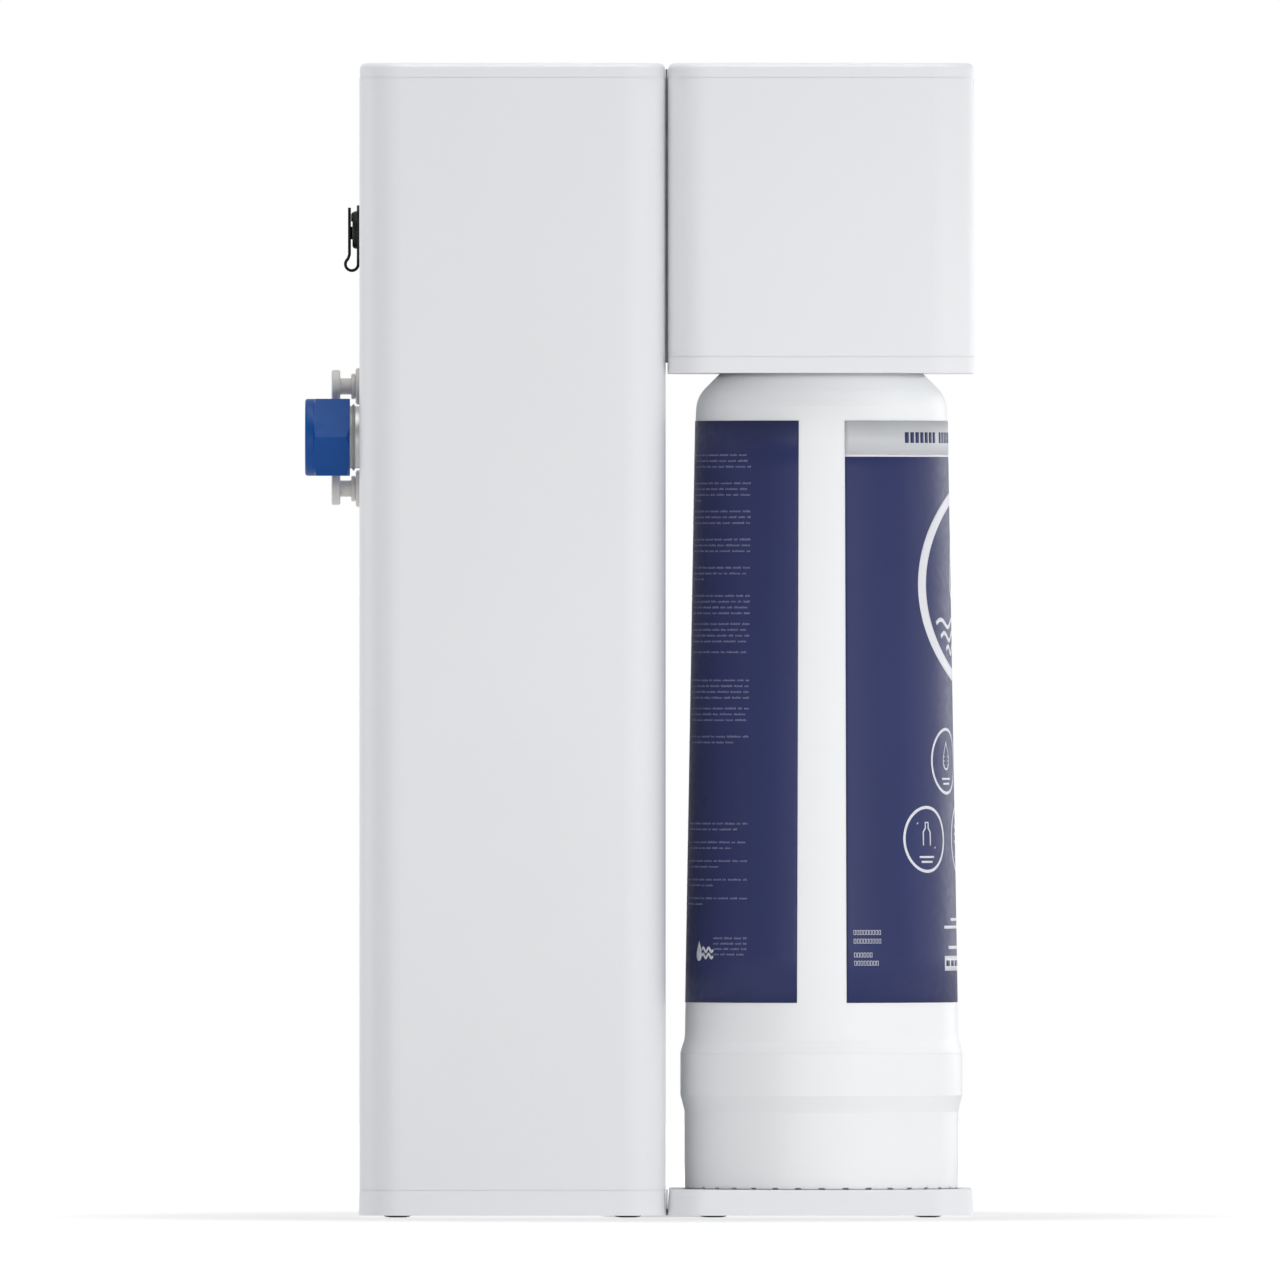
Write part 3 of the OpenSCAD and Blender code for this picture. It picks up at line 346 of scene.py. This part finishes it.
class Print:
    """Flat artwork wrapped round the cartridge.

    Positions are in mm: u runs across from a panel's middle, and z is the height over the ground.
    """

    def __init__(self, centre, lift_mm):
        self.bm = bmesh.new()
        self.centre = centre
        self.lift = lift_mm * MM

    def point(self, u, z):
        return on_label(self.centre + math.degrees(u * MM / radius(z * MM)), z * MM, self.lift)

    def strip(self, one, other, closed=False):
        """Faces between two lines, cut along them if they lie far apart, to follow the film's curve."""
        wide = max(abs(a[0] - b[0]) for a, b in zip(one, other))
        cuts = max(1, math.ceil(wide / FACE))
        rows = []
        for k in range(cuts + 1):
            line = [[p + (q - p) * k / cuts for p, q in zip(a, b)] for a, b in zip(one, other)]
            rows.append([self.bm.verts.new(self.point(u, z)) for u, z in line])
        count = len(one)
        for near, far in zip(rows, rows[1:]):
            for i in range(count if closed else count - 1):
                j = (i + 1) % count
                face = self.bm.faces.new((near[i], near[j], far[j], far[i]))
                face.normal_update()
                centre = face.calc_center_median()
                if face.normal.dot(centre - Vector((AXIS.x, AXIS.y, centre.z))) < 0:
                    face.normal_flip()

    def bar(self, u0, u1, z0, z1):
        n = max(1, math.ceil((u1 - u0) / BAR_FACE))
        us = [u0 + (u1 - u0) * i / n for i in range(n + 1)]
        rows = max(1, math.ceil((z1 - z0) / BAR_ROW))
        for k in range(rows):
            a, b = (z0 + (z1 - z0) * t / rows for t in (k, k + 1))
            self.strip([(u, a) for u in us], [(u, b) for u in us])

    def ring(self, u, z, r, stroke, n):
        turn = [2 * math.pi * i / n for i in range(n)]
        inner = [(u + (r - stroke) * math.cos(t), z + (r - stroke) * math.sin(t)) for t in turn]
        outer = [(u + r * math.cos(t), z + r * math.sin(t)) for t in turn]
        self.strip(outer, inner, closed=True)

    def disc(self, u, z, r):
        """A dot: a ring whose hole is too small to see."""
        self.ring(u, z, r, r * 0.98, 24)

    def line(self, points, stroke):
        """A stroke of even width, straight between its points: where they are far apart it dips."""
        sides = ([], [])
        for i, p in enumerate(points):
            a, b = points[max(i - 1, 0)], points[min(i + 1, len(points) - 1)]
            d = math.hypot(b[0] - a[0], b[1] - a[1])
            n = (-(b[1] - a[1]) / d * stroke / 2, (b[0] - a[0]) / d * stroke / 2)
            sides[0].append((p[0] + n[0], p[1] + n[1]))
            sides[1].append((p[0] - n[0], p[1] - n[1]))
        self.strip(*sides)

    def wave(self, u, z, half, swing, stroke, humps=2):
        steps = 14 * humps
        points = [(u - half + 2 * half * i / steps,
                   z + swing * math.sin(2 * math.pi * humps * i / steps)) for i in range(steps + 1)]
        self.line(points, stroke)

    def drop(self, u, z, size, stroke=None):
        """A water drop, filled or as a line: a round foot that narrows to a point."""
        steps = 40

        def outline(k):
            points = []
            for i in range(steps):
                t = 2 * math.pi * i / steps
                wide = math.sin(t) * math.sin(t / 2) ** 1.4
                points.append((u + size * 0.72 * wide * k, z + size * (0.1 + 0.9 * math.cos(t)) * k))
            return points

        self.strip(outline(1), outline(1 - stroke / size if stroke else 0.02), closed=True)

    def box(self, u, z, wide, tall, stroke):
        """The outline of an upright box; u and z are its lower left corner."""
        corners = ((0, 0), (1, 0), (1, 1), (0, 1))
        outer = [(u + wide * i, z + tall * j) for i, j in corners]
        inner_wide, inner_tall = wide - 2 * stroke, tall - 2 * stroke
        inner = [(u + stroke + inner_wide * i, z + stroke + inner_tall * j) for i, j in corners]
        self.strip(outer, inner, closed=True)

    def small_print(self, u0, u1, z, rng):
        """A line of fine ticks in groups the size of words."""
        u = u0
        while u < u1 - WORD_ROOM:
            word = min(rng.uniform(*WORD), u1 - u)
            count = max(2, round(word / TICK_PITCH))
            for i in range(count):
                start = u + i * word / count
                self.bar(start, start + TICK, z, z + LINE * (1 if rng.random() < TALL else LOW))
            u += word + WORD_GAP

    def finish(self, name, material, thick_mm=INK):
        """A thin piece that rides on the cartridge."""
        bmesh.ops.remove_doubles(self.bm, verts=self.bm.verts, dist=1e-7)
        piece = new_piece(name, self.bm, material)
        piece.data.polygons.foreach_set("use_smooth", [True] * len(piece.data.polygons))
        sheet = piece.modifiers.new("thickness", "SOLIDIFY")
        sheet.thickness = thick_mm * MM
        sheet.offset = -1
        sheet.use_rim = True
        sheet.use_even_offset = False
        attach(piece, "cartridge")
        return piece


def edge_u(z):
    """Distance from a panel's middle to its edge at height z, in mm."""
    return math.radians(HALF_PANEL) * radius(z * MM) / MM


def across(z, columns):
    """A line over a panel's whole width at height z."""
    return [(edge_u(z) * (2 * i / columns - 1), z) for i in range(columns + 1)]


def band(art, z0, z1, columns=80):
    """A strip over a panel's whole width."""
    art.strip(across(z0, columns), across(z1, columns))


def make_film():
    """The two navy panels, with a white strip between them on either side."""
    rows = 12
    levels = [FOOT + (TOP - FOOT) * k / rows for k in range(rows + 1)]
    art = Print(FRONT, 0)
    for centre in (FRONT, REAR):
        art.centre = centre
        for z0, z1 in zip(levels, levels[1:]):
            band(art, z0, z1, 108)
    film = art.finish("label_film", FILM_NAVY, FILM)
    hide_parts("cartridge_label")


def make_heading():
    """Grey band with blocks in place of letters: where each word starts, and how many it has."""
    grey = Print(FRONT, INK_LIFT)
    band(grey, TOP - HEADING, TOP)
    grey.finish("label_header_band", INK_GREY)

    navy = Print(FRONT, INK_LIFT * 2)
    for start, count in ((-42.5, 7), (-19.5, 7), (3.5, 5), (20.5, 8)):
        for i in range(count):
            u = start + LETTER_PITCH * i
            navy.bar(u, u + LETTER, TOP - 8.7, TOP - 4.5)
    navy.finish("label_header_marks", FILM_NAVY)


def make_front_print():
    """Ring with a drop over waves, five icons with captions, rows of small boxes, and a table."""
    white = Print(FRONT, INK_LIFT)
    band(white, TOP - HEADING - RULE, TOP - HEADING)
    white.ring(0, 246.2, 37, 4.9, 120)
    white.drop(0, 253, 15, 2.6)
    for k, half in enumerate((25, 21, 15)):
        white.wave(0, 232 - 5.2 * k, half, 1.5, 1.7, 3)
    icons = [(-17.9, 178.1), (17.9, 178.1), (-34.8, 147.6), (0, 147.6), (34.8, 147.6)]
    for u, z in icons:
        white.ring(u, z, 13.1, 1.2, 72)
        for k, half in enumerate((4.6, 3.4)):
            white.bar(u - half, u + half, z - 7.3 - 1.9 * k, z - 6.5 - 1.9 * k)
    draw_icons(white, icons)
    for z, count in ((110.4, 9), (107.0, 9), (101.6, 6), (98.4, 8)):
        for i in range(count):
            white.box(-70.6 + 1.3 * i, z, 0.95, 1.8, 0.16)
    for half, z0, z1 in ((23, 96.2, 102), (19, 104.6, 105.9), (23, 112.6, 113.8), (16, 115.6, 116.8)):
        white.bar(-half, half, z0, z1)
    white.finish("label_front_print", INK_WHITE)

    table = Print(FRONT, INK_LIFT * 2)
    for k in range(8):
        table.bar(-21.6 + 5.5 * k, -17.6 + 5.5 * k, 98, 100.2)
    table.finish("label_table_marks", FILM_NAVY)


def draw_icons(art, icons):
    """Plain signs: a lined drop, bubbles over a wave, a bottle with a stroke, waves and a star."""
    lined_drop, bubbles, bottle, waves, star = icons
    u, z = lined_drop
    art.drop(u, z + 1.6, 6.4, 0.9)
    for k in range(3):
        art.line([(u - 2.6, z - 1.6 + 1.7 * k), (u + 2.6, z - 1.6 + 1.7 * k)], 0.5)
    u, z = bubbles
    for k in (-1, 0, 1):
        art.disc(u + 3.4 * k, z + 1.2 + (1.6 if k == 0 else 0), 1.2)
    art.wave(u, z - 3.4, 6, 0.9, 0.8)
    u, z = bottle
    art.line([(u - 5.6, z + 6.4), (u + 5.6, z - 3.4)], 0.9)
    left = [(-2.2, -2.4), (-2.2, 2.8), (-0.9, 4.4), (-0.9, 6.6)]
    right = [(-p, q) for p, q in left[::-1]]
    art.line([(u + p, z + q) for p, q in left + right], 0.7)
    u, z = waves
    for k in range(3):
        art.wave(u, z + 4.6 - 3 * k, 6.5, 0.8, 0.8)
    u, z = star
    for k in range(4):
        t = math.pi * k / 4
        art.line([(u - 6 * math.cos(t), z + 1.5 - 6 * math.sin(t)),
                  (u + 6 * math.cos(t), z + 1.5 + 6 * math.sin(t))], 0.7)


def make_rear_print():
    """Paragraphs of small print: full ones above, pairs of lines below, and a note by the mark."""
    rng = random.Random(7)
    art = Print(REAR, INK_LIFT)
    half_block = math.radians(56.4)

    def block_end(z):
        return half_block * radius(z * MM) / MM

    for k, lines in enumerate((3, 4, 3, 3, 3, 4, 4, 2, 4, 3, 2)):
        for i in range(lines):
            z = 298.2 - 11.0 * k - LINE_PITCH * i - LINE
            end = block_end(z)
            full = rng.uniform(0.55, 0.95) if i == lines - 1 and k % 3 == 1 else 1
            art.small_print(-end, -end + 2 * end * full, z, rng)
    for k in range(5):
        for i, full in enumerate((1, 0.97 - 0.05 * k)):
            z = 153.4 - 7.3 * k - LINE_PITCH * i
            end = block_end(z)
            art.small_print(-end, -end + 2 * end * full, z, rng)
    for i in range(4):
        z = 108.6 - 2.1 * i
        end = block_end(z)
        art.small_print(end - 18, end, z, rng)
    art.finish("label_rear_text", INK_PALE)

    mark = Print(REAR, INK_LIFT)
    mark.drop(23.5, 103.6, 4.4)
    for z in (104.4, 102.0):
        mark.wave(30, z, 4, 0.8, 1.1)
    mark.finish("label_rear_mark", INK_WHITE)


make_film()
make_heading()
make_front_print()
make_rear_print()


# ---------- springs ----------

COIL_STEPS, WIRE_SIDES = 32, 12         # facets of one turn and round the wire
CLOSED_PITCH = 2.05                     # climb of the first and the last turn, in wire radii


def make_spring(name, node, turns, wire):
    """Coil with closed ends; wire is the radius of its wire.

    It takes the size and place of the CAD spring that it hides.
    """
    foot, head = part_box(node)
    centre = (foot + head) / 2
    coil_r = (head.x - foot.x) / 2 - wire
    closed = CLOSED_PITCH * wire
    open_rise = head.z - foot.z - 2 * wire - 2 * closed
    corners = [math.tau * k / WIRE_SIDES for k in range(WIRE_SIDES)]
    bm = bmesh.new()
    rings = []
    for i in range(turns * COIL_STEPS + 1):
        turn = i / COIL_STEPS
        share = min(max((turn - 1) / (turns - 2), 0), 1)
        z = foot.z + wire + closed * (min(turn, 1) + max(turn - turns + 1, 0)) + open_rise * share
        around = Vector((math.cos(math.tau * turn), math.sin(math.tau * turn), 0))
        rings.append([bm.verts.new(Vector((centre.x, centre.y, z + wire * math.sin(c)))
                                   + around * (coil_r + wire * math.cos(c))) for c in corners])
    skin(bm, rings)
    spring = new_piece(name, bm, MATERIALS["zinc_steel"])
    round_faces = [len(p.vertices) == 4 for p in spring.data.polygons]
    spring.data.polygons.foreach_set("use_smooth", round_faces)
    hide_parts(node)
    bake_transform(spring)


make_spring("valve_coil_spring", "inlet_valve_spring", 7, 0.4 * MM)
make_spring("shutoff_coil_spring", "shutoff_spring", 6, 0.6 * MM)


# ---------- socket flap ----------

STRAP, STRAP_EDGE = 1.1, 0.15           # thickness of the rubber and chamfer along its edges, mm
LOOP_TURN = 232                         # how far the loop goes round before the flap begins, degrees
LOOP_STEPS, KNOB_SIDES = 48, 48         # facets of the loop and round the knob
FLANGE_Z = 3.5                          # the strap's end in the flange, over the loop's centre, mm
FLAP_X, FLAP_Z = -0.91, 3.7             # middle and start of the flap from the loop's centre, mm
KNOB = ((-0.8, 2.5), (1.74, 2.5), (2.24, 2.1))   # knob that plugs the socket: distance and radius, mm


def strap_path(mid_r, top):
    """The strap's middle line from the flange to the flap's tip: x, z and a share from 0 at the flange
    to 1 on the flap.
    """
    path = [(mid_r, FLANGE_Z * MM, 0)]
    for k in range(LOOP_STEPS + 1):
        a = math.radians(-LOOP_TURN * k / LOOP_STEPS)
        path.append((mid_r * math.cos(a), mid_r * math.sin(a), k / LOOP_STEPS))
    return path + [(FLAP_X * MM, FLAP_Z * MM, 1), (FLAP_X * MM, top, 1)]


def strap_profile(half_y):
    """The strap's section with chamfered corners: distance from the middle line, and y."""
    thick, chamfer = STRAP * MM / 2, STRAP_EDGE * MM
    quarter = [(thick, half_y - chamfer), (thick - chamfer, half_y)]
    half = quarter + [(-t, y) for t, y in quarter[::-1]]
    return half + [(-t, -y) for t, y in half]


def make_flap():
    """Flap, loop and knob in one piece of rubber.

    The loop's inner end sits in the socket's flange and its outer end runs into the flap.
    """
    foot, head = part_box("socket_flap")
    loop_r = (head.x - foot.x) / 2
    centre = Vector((foot.x + loop_r, (foot.y + head.y) / 2, foot.z + loop_r))
    bm = bmesh.new()

    def ring(points):
        return [bm.verts.new(centre + Vector(p)) for p in points]

    path = strap_path(loop_r - STRAP * MM / 2, head.z - centre.z)
    profile = strap_profile((head.y - foot.y) / 2)
    strap = []
    for k, (x, z, share) in enumerate(path):
        before, after = path[max(k - 1, 0)], path[min(k + 1, len(path) - 1)]
        way = Vector((after[0] - before[0], after[1] - before[1])).normalized()
        strap.append(ring([(x + t * way.y, y, z - t * way.x) for t, y in profile]))
    skin(bm, strap)

    knob_z = sum(corner.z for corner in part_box("power_socket")) / 2 - centre.z
    turns = [math.tau * k / KNOB_SIDES for k in range(KNOB_SIDES)]
    skin(bm, [ring([(x * MM, r * MM * math.cos(a), knob_z + r * MM * math.sin(a)) for a in turns])
              for x, r in KNOB])
    bmesh.ops.recalc_face_normals(bm, faces=bm.faces)
    flap = new_piece("rubber_flap", bm, MATERIALS["black_rubber"])
    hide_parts("socket_flap")
    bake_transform(flap)


make_flap()


# ---------- studio ----------

ROOM = ((0, 0.18), (0.5, 0.3), (1, 0.85))    # brightness in front of, beside and behind the unit
ROOM_TINT = (0.965, 0.98, 1)                 # the room's cool white
FLOOR_COLOR = (0.65, 0.65, 0.66, 1)
FLOOR_GLOW = 0.42                            # light that the floor gives to the unit
# The lift is smaller near the unit, which paints shade on the floor round it.
FLOOR_LIFT = (0.12, 0.5)                     # what the camera sees on top of that, near and far
FADE = (0.12, 0.36)                          # distances from the unit between near and far, m
LIGHTS_AIM = (0, 0, 0.2)                     # what every softbox points at, m
VIEW_WIDTH = 0.5010                          # width of the frame at the object, m
VIEW_X, VIEW_Z = 0.0003, 0.2255              # middle of the frame at the object, m
LENS, SENSOR = 1500, 36                      # a long lens, for a view with next to no perspective


def white_floor():
    """Pale floor with the unit's soft shadow and painted shade round it, which fade into the white room
    further out.
    """
    bpy.ops.mesh.primitive_plane_add(size=8, location=(0, 0, 0))
    floor = bpy.context.object
    floor.name = "floor"
    mat = bpy.data.materials.new("studio_white")
    mat.use_nodes = True
    tree = mat.node_tree
    bsdf = tree.nodes["Principled BSDF"]
    bsdf.inputs["Base Color"].default_value = FLOOR_COLOR
    bsdf.inputs["Roughness"].default_value = 0.9
    bsdf.inputs["Specular IOR Level"].default_value = 0.1
    bsdf.inputs["Emission Color"].default_value = (1, 1, 1, 1)
    place = tree.nodes.new("ShaderNodeTexCoord")
    away = tree.nodes.new("ShaderNodeVectorMath")
    away.operation = "LENGTH"
    fade = tree.nodes.new("ShaderNodeMapRange")
    fade.interpolation_type = "SMOOTHSTEP"
    fade.inputs["From Min"].default_value, fade.inputs["From Max"].default_value = FADE
    # Less glow near the unit and more further out: painted shade round the unit.
    fade.inputs["To Min"].default_value, fade.inputs["To Max"].default_value = FLOOR_LIFT
    path = tree.nodes.new("ShaderNodeLightPath")
    glow = tree.nodes.new("ShaderNodeMath")
    glow.operation = "MULTIPLY_ADD"
    glow.inputs[2].default_value = FLOOR_GLOW
    links = tree.links
    links.new(place.outputs["Object"], away.inputs[0])
    links.new(away.outputs["Value"], fade.inputs["Value"])
    links.new(fade.outputs["Result"], glow.inputs[0])
    links.new(path.outputs["Is Camera Ray"], glow.inputs[1])
    links.new(glow.outputs["Value"], bsdf.inputs["Emission Strength"])
    floor.data.materials.append(mat)
    return floor


def white_world():
    """White to the camera; to surfaces a cool white room, brightest behind the unit."""
    world = bpy.data.worlds.new("studio")
    bpy.context.scene.world = world
    world.use_nodes = True
    tree = world.node_tree
    tree.nodes.clear()
    out = tree.nodes.new("ShaderNodeOutputWorld")
    mix = tree.nodes.new("ShaderNodeMixShader")
    path = tree.nodes.new("ShaderNodeLightPath")
    seen, room = (tree.nodes.new("ShaderNodeBackground") for _ in range(2))
    seen.inputs["Color"].default_value = (1, 1, 1, 1)
    coords = tree.nodes.new("ShaderNodeTexCoord")
    split = tree.nodes.new("ShaderNodeSeparateXYZ")
    span = tree.nodes.new("ShaderNodeMapRange")
    span.inputs["From Min"].default_value = -1
    ramp = tree.nodes.new("ShaderNodeValToRGB")
    stops = ramp.color_ramp.elements
    stops.new(0.5)
    for stop, (place, level) in zip(stops, ROOM):
        stop.position = place
        stop.color = tuple(level * tone for tone in ROOM_TINT) + (1,)
    links = tree.links
    links.new(coords.outputs["Generated"], split.inputs["Vector"])
    links.new(split.outputs["Y"], span.inputs["Value"])
    links.new(span.outputs["Result"], ramp.inputs["Fac"])
    links.new(ramp.outputs["Color"], room.inputs["Color"])
    links.new(path.outputs["Is Camera Ray"], mix.inputs["Fac"])
    links.new(room.outputs["Background"], mix.inputs[1])
    links.new(seen.outputs["Background"], mix.inputs[2])
    links.new(mix.outputs["Shader"], out.inputs["Surface"])


def softbox(name, place, size, watts, glints=True):
    """Rectangular light on the unit alone, so that it leaves no pool of light on the floor."""
    light = bpy.data.lights.new(name, "AREA")
    light.shape = "RECTANGLE"
    light.size, light.size_y = size
    light.energy = watts
    box = bpy.data.objects.new(name, light)
    box.location = place
    box.rotation_euler = (Vector(LIGHTS_AIM) - Vector(place)).to_track_quat("-Z", "Y").to_euler()
    box.light_linking.receiver_collection = UNLIT
    box.visible_glossy = glints
    bpy.context.scene.collection.objects.link(box)


def make_camera():
    """Level view from the side, square to the unit."""
    camera = bpy.data.objects.new("camera", bpy.data.cameras.new("camera"))
    camera.data.lens = LENS
    camera.data.sensor_width = SENSOR
    camera.data.clip_start = 1
    camera.data.clip_end = 60
    camera.location = (VIEW_X, -VIEW_WIDTH * LENS / SENSOR, VIEW_Z)
    camera.rotation_euler = (math.pi / 2, 0, 0)
    bpy.context.scene.collection.objects.link(camera)
    bpy.context.scene.camera = camera
    bpy.context.scene.view_settings.view_transform = "Standard"


UNLIT = bpy.data.collections.new("unlit_by_softboxes")
UNLIT.objects.link(white_floor())
UNLIT.collection_objects[0].light_linking.link_state = "EXCLUDE"
white_world()
softbox("key", (0.5, -0.4, 0.17), (0.4, 0.4), 1.0, glints=False)
softbox("front", (0.1, -0.9, 0.3), (1.2, 0.3), 0.8)
softbox("low_front", (0.1, -0.9, 0.03), (1.2, 0.3), 2.15)
softbox("top", (0, -0.25, 1.3), (0.9, 0.9), 6.6)
softbox("rear_side", (-0.9, 0.1, 0.25), (0.6, 0.6), 1.35)
softbox("front_side", (0.9, 0.1, 0.25), (0.6, 0.6), 0.6)
softbox("rear_rim", (-0.6, 0.8, 0.25), (0.7, 0.7), 0.4)
softbox("front_rim", (0.7, 0.7, 0.25), (0.5, 0.7), 1.2)
make_camera()
